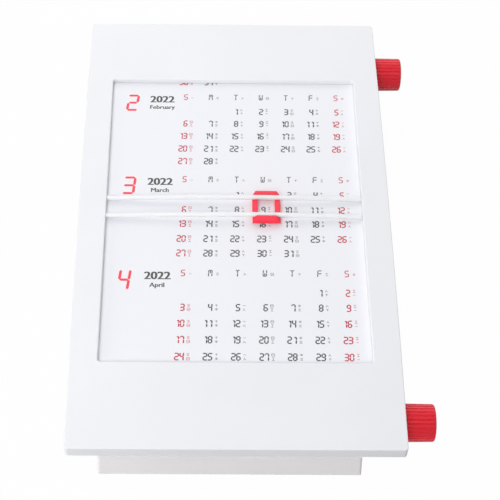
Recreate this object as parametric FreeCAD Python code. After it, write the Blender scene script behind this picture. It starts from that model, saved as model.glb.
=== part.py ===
import FreeCAD, Part

# Desk calendar with drawer: a white moulded frame with a sunk window, a printed paper
# strip wound between two rollers that ribbed red knobs turn, a red date marker that
# slides along two arched rods across the window, and a shallow drawer in the base.
# Millimetres. +X is to the knobs' side, +Y to the back, +Z up. The origin is on the
# surface that the feet stand on, under the middle of the whole outline.

import math
import os
from FreeCAD import Vector

os.makedirs("parts", exist_ok=True)

# Plate and skirt of the top frame
plate_width = 110.0
plate_length = 185.0
skirt_height = 4.6
frame_top_thickness = 1.8
frame_wall = 2.0
plate_side_bow = 0.55
plate_corner_radius = 1.2
plate_edge_radius = 0.3

# Window in the plate
window_side_margin = 9.7
window_front_margin = 32.1
window_back_margin = 29.0
window_corner_radius = 1.0
window_rim_radius = 0.5

# Heights of the storeys from the floor up
foot_stand = 0.8
casing_height = 13.1
housing_height = 15.9

# Roller housing, under the plate
housing_side_inset = 4.0
housing_front_inset = 8.5
housing_wall = 1.8
housing_floor = 1.4
housing_corner_radius = 2.0
ear_reach = 6.0
ear_width = 9.0
ear_thickness = 2.0
ear_side_inset = 13.0
gusset_thickness = 1.2
gusset_height = 2.4
gusset_side_inset = 21.0

# Drawer casing, the narrow block below the housing
block_side_inset = 11.5
block_flare = 0.8
block_offset = -1.65
block_front_inset = 6.3
block_back_inset = 8.0
block_edge_radius = 0.5
drawer_front_radius = 0.9
casing_wall = 1.6
casing_floor_thickness = 1.2
post_diameter = 5.6
post_side_inset = 3.8
post_front_setback = 32.0
post_back_margin = 28.0
finger_notch_radius = 9.0

# Drawer
drawer_front_thickness = 2.4
drawer_side_room = 2.5
drawer_wall = 1.4
drawer_floor = 1.2
drawer_depth = 9.6
drawer_back_gap = 1.5
drawer_corner_radius = 1.2
drawer_inner_radius = 2.0
drawer_travel = 112.0
drawer_clearance = 0.25
runner_width = 1.4
runner_end_gap = 3.0
flange_reach = 1.5
flange_thickness = 1.0
catch_height = 1.1
stop_width = 30.0
stop_length = 3.0
stop_height = 1.4

# Rollers, knobs and their bearings
axle_share = 0.57
knob_share = 0.59
hub_share = 0.42
upper_roll_share = 0.365
core_share = 0.234
journal_share = 0.187
axle_skirt_gap = 0.2
roll_floor_gap = 0.8
roll_wall_gap = 0.85
core_end_gap = 0.7
running_clearance = 0.05
bush_wall = 1.1
bush_flange = 1.0
bush_flange_thickness = 0.6
knob_reach = 10.2
knob_plate_gap = 0.3
hub_setback = 2.6
knob_end_radius = 0.8
knob_draft = 0.12
knob_ribs = 28
rib_share = 0.66
rib_depth = 0.42
rib_trim = 0.12
knob_bore_depth = 9.4
knob_flat_depth = 0.6
washer_diameter = 8.0
washer_gap = 0.05
clip_thickness = 0.6
clip_diameter = 6.6
clip_groove_depth = 0.5
clip_mouth = 2.4
clip_end_length = 0.5

# Paper strip and its bed
paper_thickness = 0.2
paper_overlap = 1.7
paper_gap = 0.2
roll_clearance = 0.25
wound_clearance = 0.05
bed_front_overlap = 5.1
bed_back_overlap = 4.0
bed_thickness = 1.4
bed_side_gap = 0.5
bed_edge_radius = 1.2
bed_rim_height = 0.2
bed_rim_width = 1.2
bed_leg_thickness = 1.6
bed_leg_inset = 3.5
bed_rib_thickness = 1.4
bed_rib_height = 4.0
bed_rib_shares = (0.2, 0.5, 0.8)

# Arched rods and the date marker
rail_diameter = 1.75
rail_spacing = 7.7
rail_offset = 2.1
rail_end_drop = 0.8
rail_rise = 1.1
rail_pin_diameter = 0.9
rail_wall_gap = 0.05
rail_seat = 3.6
rail_seat_clearance = 0.04
rail_bend_setback = 0.4
rail_bend_radius = 3.0
marker_width = 9.9
marker_place = 11.35
marker_clearance = 0.06
marker_floor = 0.22
marker_web_drop = 0.2
marker_window = 6.0
marker_window_radius = 0.4
front_lip_out = 6.85
front_lip_rise = 0.62
front_lip_radius = 0.9
front_lip_cut_width = 1.6
front_lip_cut_height = 1.05
back_lip_out = 6.5
back_lip_rise = 0.7
back_lip_radius = 0.6
back_lip_taper = 1.4
back_lip_taper_setback = 0.3
snap_half_width = 0.75

# Screws and feet
screw_diameter = 2.0
screw_fit = 0.05
screw_hole_clearance = 0.3
screw_head_diameter = 4.0
screw_head_height = 1.3
frame_screw_length = 5.0
frame_boss_diameter = 5.0
casing_screw_length = 14.0
housing_boss_diameter = 5.0
housing_boss_height = 4.0
head_recess_clearance = 0.25
foot_diameter = 8.0
foot_socket_depth = 0.8
foot_socket_clearance = 0.15
foot_edge_bevel = 0.35

# One overrun for every cut that goes right through
overrun = 1.0

# Sizes that follow the plate
window_width = plate_width - 2 * window_side_margin
window_length = plate_length - window_front_margin - window_back_margin
housing_width = plate_width - 2 * housing_side_inset
housing_length = plate_length - 2 * housing_front_inset
ear_spread = housing_width - 2 * ear_side_inset
gusset_spread = housing_width - 2 * gusset_side_inset
block_top_width = plate_width - 2 * block_side_inset
block_bottom_width = block_top_width + 2 * block_flare
post_spread = block_top_width - 2 * post_side_inset
post_back_setback = plate_length - post_back_margin
drawer_width = post_spread - post_diameter - 2 * drawer_side_room
paper_width = window_width + 2 * paper_overlap
bed_width = housing_width - 2 * housing_wall - 2 * bed_side_gap
bed_leg_spread = bed_width - 2 * bed_leg_inset
bed_front_setback = window_front_margin - bed_front_overlap
bed_back_setback = window_front_margin + window_length + bed_back_overlap
rail_setback = window_front_margin + window_length / 2 + rail_offset

# Sizes that follow the housing's height
roller_room = (housing_height + frame_top_thickness - skirt_height - housing_floor
               - axle_skirt_gap - roll_floor_gap)
knob_diameter = 2 * knob_share * roller_room
hub_diameter = 2 * hub_share * roller_room
lower_roll_radius = (1 - axle_share) * roller_room
upper_roll_radius = upper_roll_share * roller_room
core_diameter = 2 * core_share * roller_room
journal_diameter = 2 * journal_share * roller_room
roller_drop = skirt_height + axle_skirt_gap + axle_share * roller_room
roller_inset = housing_front_inset + housing_wall + roll_wall_gap + lower_roll_radius

# Places worked out from the sizes
plate_x = -knob_reach / 2
half_length = plate_length / 2
casing_z = foot_stand
housing_z = casing_z + casing_height
under_z = housing_z + housing_height
top_z = under_z + frame_top_thickness
skirt_z = top_z - skirt_height
paper_z = under_z - paper_gap
bed_z = paper_z - paper_thickness
roller_z = top_z - roller_drop
block_x = plate_x + block_offset
rail_radius = rail_diameter / 2
half_span = window_width / 2
arch_radius = (half_span ** 2 + rail_rise ** 2) / (2 * rail_rise)
arch_z = top_z - rail_end_drop + rail_rise - arch_radius
journal_radius = journal_diameter / 2
bush_radius = journal_radius + running_clearance + bush_wall


def at(setback):
    """Y of a place given by its distance back from the plate's front edge."""
    return setback - half_length


def block(x0, x1, y0, y1, z0, z1):
    return Part.makeBox(x1 - x0, y1 - y0, z1 - z0, Vector(x0, y0, z0))


def centred(x, width, y0, y1, z0, z1):
    return block(x - width / 2, x + width / 2, y0, y1, z0, z1)


def rod(radius, x0, x1, y, z):
    """Cylinder along X."""
    return Part.makeCylinder(radius, x1 - x0, Vector(x0, y, z), Vector(1, 0, 0))


def upright(radius, x, y, z0, z1):
    return Part.makeCylinder(radius, z1 - z0, Vector(x, y, z0))


def fillet_where(shape, radius, wanted):
    edges = [edge for edge in shape.Edges if wanted(edge)]
    return shape.makeFillet(radius, edges)


def bevel_where(shape, size, wanted):
    edges = [edge for edge in shape.Edges if wanted(edge)]
    return shape.makeChamfer(size, edges)


def runs_along(edge, axis):
    start, end = edge.Vertexes[0].Point, edge.Vertexes[-1].Point
    step = end - start
    return step.Length > 0 and abs(step.dot(axis)) > 0.99 * step.Length


def rounded_prism(x, width, y0, y1, z0, z1, radius):
    """Upright box whose four vertical edges are rounded."""
    upright_edge = lambda edge: runs_along(edge, Vector(0, 0, 1))
    return fillet_where(centred(x, width, y0, y1, z0, z1), radius, upright_edge)


def bowed_plate(y0, y1, z0, z1):
    """Plate whose two long sides bow outwards a little, widest in the middle."""
    half, middle = plate_width / 2, (y0 + y1) / 2
    narrow = half - plate_side_bow
    corners = [Vector(plate_x + a * narrow, b, z0) for a, b in ((-1, y0), (1, y0), (1, y1), (-1, y1))]
    edges = [Part.LineSegment(corners[0], corners[1]).toShape(),
             Part.Arc(corners[1], Vector(plate_x + half, middle, z0), corners[2]).toShape(),
             Part.LineSegment(corners[2], corners[3]).toShape(),
             Part.Arc(corners[3], Vector(plate_x - half, middle, z0), corners[0]).toShape()]
    plate = Part.Face(Part.Wire(edges)).extrude(Vector(0, 0, z1 - z0))
    return fillet_where(plate, plate_corner_radius, lambda edge: runs_along(edge, Vector(0, 0, 1)))


def edges_at(z):
    return lambda edge: all(math.isclose(v.Z, z, abs_tol=1e-6) for v in edge.Vertexes)


def trapezoid_prism(top_width, bottom_width, y0, y1, z0, z1):
    """The block's flared cross-section, extruded along Y about the block's middle."""
    corners = [Vector(block_x - bottom_width / 2, y0, z0), Vector(block_x + bottom_width / 2, y0, z0),
               Vector(block_x + top_width / 2, y0, z1), Vector(block_x - top_width / 2, y0, z1)]
    face = Part.Face(Part.makePolygon(corners + corners[:1]))
    return face.extrude(Vector(0, y1 - y0, 0))


def ears():
    """Screw places at the four corners of the housing: (x, y, inward direction along Y)."""
    places = []
    for side in (-1, 1):
        x = plate_x + side * ear_spread / 2
        places.append((x, at(housing_front_inset - ear_reach / 2), 1))
        places.append((x, at(plate_length - housing_front_inset + ear_reach / 2), -1))
    return places


def posts():
    """Screw and foot places of the drawer casing."""
    return [(block_x + side * post_spread / 2, at(setback))
            for side in (-1, 1) for setback in (post_front_setback, post_back_setback)]


def rollers():
    return {"lower": (at(roller_inset), lower_roll_radius),
            "upper": (at(plate_length - roller_inset), upper_roll_radius)}


def ring_about_arch(profile, half_angle):
    """Revolve a face drawn in the plane of the arch's crown about the arch's own axis."""
    axis = Vector(0, 1, 0)
    centre = Vector(plate_x, 0, arch_z)
    start = profile.copy()
    start.rotate(centre, axis, -half_angle)
    return start.revolve(centre, axis, 2 * half_angle)


def arch_band(y0, y1, rise0, rise1, half_angle):
    """Curved bar between two places along Y and two heights about the rods' centre line."""
    z = arch_z + arch_radius
    corners = [Vector(plate_x, y0, z + rise0), Vector(plate_x, y1, z + rise0),
               Vector(plate_x, y1, z + rise1), Vector(plate_x, y0, z + rise1)]
    return ring_about_arch(Part.Face(Part.makePolygon(corners + corners[:1])), half_angle)


def arch_rod(y, radius, half_angle):
    """Round bar that follows the arch."""
    circle = Part.Wire(Part.makeCircle(radius, Vector(plate_x, y, arch_z + arch_radius), Vector(1, 0, 0)))
    return ring_about_arch(Part.Face(circle), half_angle)


def rail_bend_angle():
    """Half angle of the arch, in degrees; past it the rod bends level."""
    return math.degrees(math.asin((half_span - rail_bend_setback) / arch_radius))


def rail_seat_z():
    """Height of the level stubs at the rods' ends."""
    fall = math.cos(math.radians(rail_bend_angle()))
    return arch_z + (arch_radius + rail_bend_radius) * fall - rail_bend_radius


def rail_places():
    return {"lower": at(rail_setback) - rail_spacing / 2, "upper": at(rail_setback) + rail_spacing / 2}


def make_top_frame():
    """Plate with skirt, sunk window, rod holes, screw bosses, gussets and tongues that close the saddles."""
    y0, y1 = at(0), at(plate_length)
    body = bowed_plate(y0, y1, skirt_z, top_z)
    body = fillet_where(body, plate_edge_radius, edges_at(top_z))
    hollow = centred(plate_x, plate_width - 2 * frame_wall, y0 + frame_wall, y1 - frame_wall,
                     skirt_z - overrun, under_z)
    body = body.cut(hollow)
    w0, w1 = at(window_front_margin), at(window_front_margin + window_length)
    window = rounded_prism(plate_x, window_width, w0, w1, under_z - overrun, top_z + overrun,
                           window_corner_radius)
    body = body.cut(window)

    def on_rim(edge):
        box = edge.BoundBox
        inside = abs(box.Center.x - plate_x) <= half_span and w0 - overrun < box.Center.y < w1 + overrun
        return edges_at(top_z)(edge) and inside

    body = fillet_where(body, window_rim_radius, on_rim)
    seat_z = rail_seat_z()
    hole_radius = rail_pin_diameter / 2 + rail_seat_clearance
    for y in rail_places().values():
        for side in (-1, 1):
            inner = plate_x + side * (half_span - overrun)
            outer = plate_x + side * (half_span + rail_seat + rail_seat_clearance)
            body = body.cut(rod(hole_radius, min(inner, outer), max(inner, outer), y, seat_z))
    for x, y, inward in ears():
        body = body.fuse(upright(frame_boss_diameter / 2, x, y, skirt_z, under_z))
    for side in (-1, 1):
        x = plate_x + side * gusset_spread / 2
        body = body.fuse(centred(x, gusset_thickness, y0 + frame_wall, at(housing_front_inset),
                                 under_z - gusset_height, under_z))
        body = body.fuse(centred(x, gusset_thickness, at(plate_length - housing_front_inset), y1 - frame_wall,
                                 under_z - gusset_height, under_z))
    pilot = screw_diameter / 2 + screw_fit
    pilot_top = skirt_z + frame_screw_length - ear_thickness + screw_fit
    for x, y, inward in ears():
        body = body.cut(upright(pilot, x, y, skirt_z - overrun, pilot_top))
    for y, roll in rollers().values():
        for side in (-1, 1):
            wall_middle = plate_x + side * (housing_width - housing_wall) / 2
            body = body.fuse(centred(wall_middle, housing_wall, y - bush_radius, y + bush_radius,
                                     roller_z + bush_radius + running_clearance, under_z))
    return body.removeSplitter()


def make_roller_housing():
    """Open tub that carries the rollers, the bed and the frame, with the drawer's stop below it."""
    y0, y1 = at(housing_front_inset), at(plate_length - housing_front_inset)
    body = rounded_prism(plate_x, housing_width, y0, y1, housing_z, under_z, housing_corner_radius)
    inner_width = housing_width - 2 * housing_wall
    floor_z = housing_z + housing_floor
    body = body.cut(centred(plate_x, inner_width, y0 + housing_wall, y1 - housing_wall,
                            floor_z, under_z + overrun))
    ear_top = skirt_z
    for x, y, inward in ears():
        outer = y - inward * ear_reach / 2
        inner = y + inward * (ear_reach / 2 + housing_wall / 2)
        body = body.fuse(centred(x, ear_width, min(outer, inner), max(outer, inner),
                                 ear_top - ear_thickness, ear_top))
    for x, y in posts():
        body = body.fuse(upright(housing_boss_diameter / 2, x, y, floor_z, floor_z + housing_boss_height))
    stop_y = stop_back() - stop_length
    body = body.fuse(centred(block_x, stop_width, stop_y, stop_back(), housing_z - stop_height, housing_z))
    slot_radius = bush_radius + running_clearance
    for y, roll in rollers().values():
        for side in (-1, 1):
            wall_middle = plate_x + side * (housing_width - housing_wall) / 2
            x0, x1 = wall_middle - housing_wall, wall_middle + housing_wall
            body = body.cut(rod(slot_radius, x0, x1, y, roller_z))
            body = body.cut(block(x0, x1, y - slot_radius, y + slot_radius, roller_z, under_z + overrun))
    free_hole = screw_diameter / 2 + screw_hole_clearance
    for x, y, inward in ears():
        body = body.cut(upright(free_hole, x, y, ear_top - ear_thickness - overrun, ear_top + overrun))
    pilot = screw_diameter / 2 + screw_fit
    for x, y in posts():
        body = body.cut(upright(pilot, x, y, housing_z - overrun, screw_tip()))
    return body.removeSplitter()


def screw_tip():
    """Top of the casing screws, inside the housing's bosses."""
    return casing_z + casing_screw_seat() + casing_screw_length


def casing_screw_seat():
    """Height of the screw heads' seat above the casing's underside."""
    return foot_socket_depth + screw_head_height


def stop_back():
    """Y of the stop's back face, which the drawer's catch meets at full travel."""
    return drawer_back() - drawer_wall - drawer_travel - drawer_clearance


def drawer_back():
    return at(plate_length - block_back_inset) - casing_wall - drawer_back_gap


def make_drawer_casing():
    """Open-topped block with flared sides, guide ribs, screw posts and foot sockets."""
    y0 = at(block_front_inset + drawer_front_thickness) + drawer_clearance
    y1 = at(plate_length - block_back_inset)
    body = trapezoid_prism(block_top_width, block_bottom_width, y0, y1, casing_z, housing_z)
    body = fillet_where(body, block_edge_radius, lambda edge: abs(edge.CenterOfMass.y - y1) < overrun / 10
                        and abs(edge.BoundBox.ZLength - casing_height) < overrun / 10)
    inner = trapezoid_prism(block_top_width - 2 * casing_wall, block_bottom_width - 2 * casing_wall,
                            y0 - overrun, y1 - casing_wall, casing_z, housing_z)
    floor_z = casing_z + casing_floor_thickness
    keep = centred(block_x, block_bottom_width, y0 - 2 * overrun, y1, casing_z - overrun, floor_z)
    body = body.cut(inner.cut(keep))
    runner_top = floor_z + drawer_depth - flange_thickness
    for side in (-1, 1):
        x = block_x + side * (drawer_width / 2 + drawer_clearance + runner_width / 2)
        body = body.fuse(centred(x, runner_width, y0 + runner_end_gap, y1 - casing_wall, floor_z, runner_top))
    for x, y in posts():
        body = body.fuse(upright(post_diameter / 2, x, y, casing_z, housing_z))
    seat = casing_z + casing_screw_seat()
    socket_radius = foot_diameter / 2 + foot_socket_clearance
    recess_radius = screw_head_diameter / 2 + head_recess_clearance
    free_radius = screw_diameter / 2 + screw_hole_clearance
    for x, y in posts():
        body = body.cut(upright(socket_radius, x, y, casing_z - overrun, casing_z + foot_socket_depth))
        body = body.cut(upright(recess_radius, x, y, casing_z, seat))
        body = body.cut(upright(free_radius, x, y, casing_z, housing_z + overrun))
    body = body.cut(upright(finger_notch_radius, block_x, y0, casing_z - overrun, floor_z + overrun))
    return body.removeSplitter()


def make_drawer():
    """Tray with its full-height front, side flanges that ride on the guide ribs and a catch at the back."""
    front_y = at(block_front_inset)
    panel_y = front_y + drawer_front_thickness
    panel_top = housing_z - drawer_clearance
    share = (panel_top - casing_z) / casing_height
    panel_top_width = block_bottom_width + (block_top_width - block_bottom_width) * share
    panel = trapezoid_prism(panel_top_width, block_bottom_width, front_y, panel_y, casing_z, panel_top)
    front_edge = lambda edge: (edge.CenterOfMass.y < front_y + drawer_clearance
                               and edge.BoundBox.ZMin < panel_top - drawer_clearance)
    panel = fillet_where(panel, drawer_front_radius, front_edge)
    floor_z = casing_z + casing_floor_thickness + drawer_clearance
    rim_z = floor_z + drawer_depth
    tray = rounded_prism(block_x, drawer_width, panel_y - drawer_wall, drawer_back(), floor_z, rim_z,
                         drawer_corner_radius)
    for side in (-1, 1):
        x = block_x + side * (drawer_width / 2 - drawer_wall / 2 + flange_reach / 2)
        width = drawer_wall + flange_reach
        tray = tray.fuse(centred(x, width, panel_y, drawer_back() - drawer_corner_radius,
                                 rim_z - flange_thickness, rim_z))
    hollow = rounded_prism(block_x, drawer_width - 2 * drawer_wall, panel_y, drawer_back() - drawer_wall,
                           floor_z + drawer_floor, rim_z + overrun, drawer_inner_radius)
    hollow = fillet_where(hollow, drawer_inner_radius / 2, edges_at(floor_z + drawer_floor))
    tray = tray.fuse(centred(block_x, stop_width - 2 * stop_length, drawer_back() - drawer_wall,
                             drawer_back(), rim_z - flange_thickness, rim_z + catch_height))
    return panel.fuse(tray.cut(hollow)).removeSplitter()


def make_paper_bed():
    """Flat bed under the window with rounded guide edges, side rims, two legs and cross ribs."""
    y0, y1 = at(bed_front_setback), at(bed_back_setback)
    under = bed_z - bed_thickness
    body = centred(plate_x, bed_width, y0, y1, under, bed_z)
    guide_edge = lambda edge: edges_at(bed_z)(edge) and runs_along(edge, Vector(1, 0, 0))
    body = fillet_where(body, bed_edge_radius, guide_edge)
    floor_z = housing_z + housing_floor
    for side in (-1, 1):
        x = plate_x + side * (bed_width - bed_rim_width) / 2
        body = body.fuse(centred(x, bed_rim_width, y0 + bed_edge_radius, y1 - bed_edge_radius,
                                 bed_z, bed_z + bed_rim_height))
        x = plate_x + side * (bed_leg_spread + bed_leg_thickness) / 2
        body = body.fuse(centred(x, bed_leg_thickness, y0 + bed_edge_radius, y1 - bed_edge_radius,
                                 floor_z, under))
    for share in bed_rib_shares:
        y = y0 + share * (y1 - y0)
        body = body.fuse(centred(plate_x, bed_leg_spread, y - bed_rib_thickness / 2,
                                 y + bed_rib_thickness / 2, under - bed_rib_height, under))
    return body.removeSplitter()


def tangent_points(near, near_radius, far, far_radius):
    """Ends, as (y, z), of the line that lies on top of two circles; near is the one further inward."""
    dy, dz = far[0] - near[0], far[1] - near[1]
    span = math.hypot(dy, dz)
    heading = math.atan2(dz, dy)
    spread = math.acos((near_radius - far_radius) / span)
    normal = (heading + spread if dy > 0 else heading - spread) % (2 * math.pi)
    ny, nz = math.cos(normal), math.sin(normal)
    start = (near[0] + near_radius * ny, near[1] + near_radius * nz)
    end = (far[0] + far_radius * ny, far[1] + far_radius * nz)
    return start, end, normal


def strip_side(setback, inward, roll_y, roll_radius):
    """Edges of the strip from the middle of the bed to one roll: top and bottom lists, from inside out."""
    x = plate_x - paper_width / 2
    guide = (at(setback) + inward * bed_edge_radius, bed_z - bed_edge_radius)
    sides = []
    for rise in (paper_thickness, 0.0):
        bend = bed_edge_radius + rise
        away = roll_radius + roll_clearance + rise
        start, end, normal = tangent_points(guide, bend, (roll_y, roller_z), away)
        crown = Vector(x, guide[0], guide[1] + bend)
        middle = (normal + math.pi / 2) / 2
        turn = Vector(x, guide[0] + bend * math.cos(middle), guide[1] + bend * math.sin(middle))
        leave = Vector(x, start[0], start[1])
        sides.append((crown, turn, leave, Vector(x, end[0], end[1])))
    return sides


def make_calendar_strip():
    """Paper over the bed and down to the top of each roll, of one thickness all along."""
    places = rollers()
    front = strip_side(bed_front_setback, 1, *places["lower"])
    back = strip_side(bed_back_setback, -1, *places["upper"])
    edges = []
    for (f_crown, f_turn, f_leave, f_end), (b_crown, b_turn, b_leave, b_end) in zip(front, back):
        edges += [Part.LineSegment(f_end, f_leave).toShape(), Part.Arc(f_leave, f_turn, f_crown).toShape(),
                  Part.LineSegment(f_crown, b_crown).toShape(), Part.Arc(b_crown, b_turn, b_leave).toShape(),
                  Part.LineSegment(b_leave, b_end).toShape()]
    edges.append(Part.LineSegment(front[0][3], front[1][3]).toShape())
    edges.append(Part.LineSegment(back[0][3], back[1][3]).toShape())
    face = Part.Face(Part.Wire(Part.__sortEdges__(edges)))
    return face.extrude(Vector(paper_width, 0, 0))


def roller_ends():
    """X of the core's two ends, the left clip's inner face and the root of the knob's hub."""
    half_core = housing_width / 2 - housing_wall - core_end_gap
    outer_face = housing_width / 2 + bush_flange_thickness + running_clearance
    root = plate_width / 2 - hub_setback
    return plate_x - half_core, plate_x + half_core, plate_x - outer_face, plate_x + root


def make_roller(y):
    """Core between the walls, a journal in each bush, a clip groove at the left and the knob's seat."""
    core_left, core_right, clip_x, root_x = roller_ends()
    left_end = clip_x - running_clearance - clip_thickness - clip_end_length
    tip = root_x + knob_bore_depth - running_clearance
    body = rod(core_diameter / 2, core_left, core_right, y, roller_z)
    body = body.fuse(rod(journal_radius, left_end, tip, y, roller_z))
    groove = rod(journal_diameter, clip_x - clip_thickness - 2 * running_clearance, clip_x, y, roller_z)
    groove = groove.cut(rod(journal_radius - clip_groove_depth, left_end, core_left, y, roller_z))
    body = body.cut(groove)
    flat_z = roller_z + journal_radius - knob_flat_depth
    body = body.cut(block(root_x, tip + overrun, y - journal_diameter, y + journal_diameter,
                          flat_z, flat_z + journal_diameter))
    return body.removeSplitter()


def make_paper_roll(y, radius):
    """Paper wound on the core."""
    half = paper_width / 2
    inner = core_diameter / 2 + wound_clearance
    return rod(radius, plate_x - half, plate_x + half, y, roller_z).cut(
        rod(inner, plate_x - half - overrun, plate_x + half + overrun, y, roller_z))


def make_bush(y, side):
    """Flanged bush that sits in a wall's saddle, with a flange on each face of the wall."""
    wall_inner = plate_x + side * (housing_width / 2 - housing_wall - running_clearance)
    wall_outer = plate_x + side * (housing_width / 2 + running_clearance)
    inner_face = wall_inner - side * bush_flange_thickness
    outer_face = wall_outer + side * (bush_flange_thickness - running_clearance)
    body = rod(bush_radius, min(inner_face, outer_face), max(inner_face, outer_face), y, roller_z)
    for a, b in ((inner_face, wall_inner), (wall_outer, outer_face)):
        body = body.fuse(rod(bush_radius + bush_flange, min(a, b), max(a, b), y, roller_z))
    bore = rod(journal_radius + running_clearance, plate_x - housing_width, plate_x + housing_width,
               y, roller_z)
    return body.cut(bore).removeSplitter()


def make_friction_washer(y):
    """Felt washer between the bush's flange and the knob, which keeps the roller where it is put."""
    x0 = plate_x + housing_width / 2 + bush_flange_thickness + washer_gap
    x1 = roller_ends()[3] - washer_gap
    ring = rod(washer_diameter / 2, x0, x1, y, roller_z)
    return ring.cut(rod(journal_radius + running_clearance, x0 - overrun, x1 + overrun, y, roller_z))


def make_clip(y):
    """Open retaining ring in the journal's groove."""
    clip_x = roller_ends()[2] - running_clearance
    x0, x1 = clip_x - clip_thickness, clip_x
    inner = journal_radius - clip_groove_depth + running_clearance
    ring = rod(clip_diameter / 2, x0, x1, y, roller_z)
    ring = ring.cut(rod(inner, x0 - overrun, x1 + overrun, y, roller_z))
    mouth = block(x0 - overrun, x1 + overrun, y - clip_mouth / 2, y + clip_mouth / 2,
                  roller_z - clip_diameter, roller_z)
    return ring.cut(mouth)


def rib_outline(x, y, outer, depth):
    """Closed wave of ribs round a circle: each rib a small crown arc and each groove a small hollow arc."""
    pitch = 2 * math.pi / knob_ribs
    inner = outer - depth - rib_trim
    half_rib = rib_share * pitch / 2

    def point(radius, angle):
        return Vector(x, y + radius * math.cos(angle), roller_z + radius * math.sin(angle))

    edges = []
    middle = (outer + inner) / 2
    for index in range(knob_ribs):
        a = index * pitch
        crown = (point(middle, a - half_rib), point(outer, a), point(middle, a + half_rib))
        groove = (crown[2], point(inner, a + pitch / 2), point(middle, a + pitch - half_rib))
        edges.append(Part.Arc(*crown).toShape())
        edges.append(Part.Arc(*groove).toShape())
    return Part.Wire(edges)


def make_knob(y):
    """Ribbed knob with slightly drafted rib crowns, a rounded outer edge, a plain hub and a D-shaped bore."""
    hub_x = roller_ends()[3]
    root_x = plate_x + plate_width / 2 + knob_plate_gap
    end_x = plate_x + plate_width / 2 + knob_reach
    radius = knob_diameter / 2
    length = end_x - root_x
    ribs = Part.Face(rib_outline(root_x, y, radius + rib_trim, rib_depth)).extrude(Vector(length, 0, 0))
    envelope = Part.makeCone(radius, radius - knob_draft, length, Vector(root_x, y, roller_z),
                             Vector(1, 0, 0))
    outer_edge = lambda edge: abs(edge.BoundBox.XMin - end_x) < overrun / 10
    envelope = fillet_where(envelope, knob_end_radius, outer_edge)
    body = ribs.common(envelope).fuse(rod(hub_diameter / 2, hub_x, root_x + overrun, y, roller_z))
    bore = rod(journal_radius + running_clearance, hub_x - overrun, hub_x + knob_bore_depth, y, roller_z)
    flat_z = roller_z + journal_radius - knob_flat_depth + running_clearance
    bore = bore.cut(block(hub_x - 2 * overrun, hub_x + knob_bore_depth + overrun,
                          y - journal_diameter, y + journal_diameter, flat_z, flat_z + journal_diameter))
    return body.cut(bore)


def make_rail(y):
    """Arched rod that bends level near the walls and steps down to a pin in each of the frame's holes."""
    bend = rail_bend_angle()
    sine, cosine = math.sin(math.radians(bend)), math.cos(math.radians(bend))
    body = arch_rod(y, rail_radius, bend)
    seat_z = rail_seat_z()
    for side in (-1, 1):
        foot = Vector(plate_x + side * arch_radius * sine, y, arch_z + arch_radius * cosine)
        centre_x = plate_x + side * (arch_radius + rail_bend_radius) * sine
        centre = Vector(centre_x, y, seat_z + rail_bend_radius)
        section = Part.Face(Part.Wire(Part.makeCircle(rail_radius, foot, Vector(cosine, 0, -side * sine))))
        body = body.fuse(section.revolve(centre, Vector(0, 1, 0), -side * bend))
        shoulder = plate_x + side * (half_span - rail_wall_gap)
        tip = plate_x + side * (half_span + rail_seat)
        for radius, end_x in ((rail_radius, shoulder), (rail_pin_diameter / 2, tip)):
            body = body.fuse(rod(radius, min(centre_x, end_x), max(centre_x, end_x), y, seat_z))
    return body.removeSplitter()


def front_lip_wedges(y0, y1):
    """Two wedges that bevel the upper ends of the front lip, in the marker's middle place."""
    z = arch_z + arch_radius + front_lip_rise
    low = z - front_lip_cut_height
    wedges = []
    for side in (-1, 1):
        tip = plate_x + side * marker_width / 2
        inner = tip - side * front_lip_cut_width
        outer = tip + side * overrun
        corners = [Vector(inner, y0, z), Vector(tip, y0, low), Vector(outer, y0, low),
                   Vector(outer, y0, z + overrun), Vector(inner, y0, z + overrun)]
        face = Part.Face(Part.makePolygon(corners + corners[:1]))
        wedges.append(face.extrude(Vector(0, y1 - y0, 0)))
    return wedges


def back_lip_wedges(y0, y1):
    """Two wedges that narrow the back lip towards the back, in the marker's middle place."""
    z = arch_z + arch_radius
    wedges = []
    for side in (-1, 1):
        tip = plate_x + side * marker_width / 2
        inner = tip - side * back_lip_taper
        outer = tip + side * overrun
        corners = [Vector(tip, y0, z - rail_diameter), Vector(inner, y1, z - rail_diameter),
                   Vector(inner, y1 + overrun, z - rail_diameter),
                   Vector(outer, y1 + overrun, z - rail_diameter), Vector(outer, y0, z - rail_diameter)]
        face = Part.Face(Part.makePolygon(corners + corners[:1]))
        wedges.append(face.extrude(Vector(0, 0, 2 * rail_diameter)))
    return wedges


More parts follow.
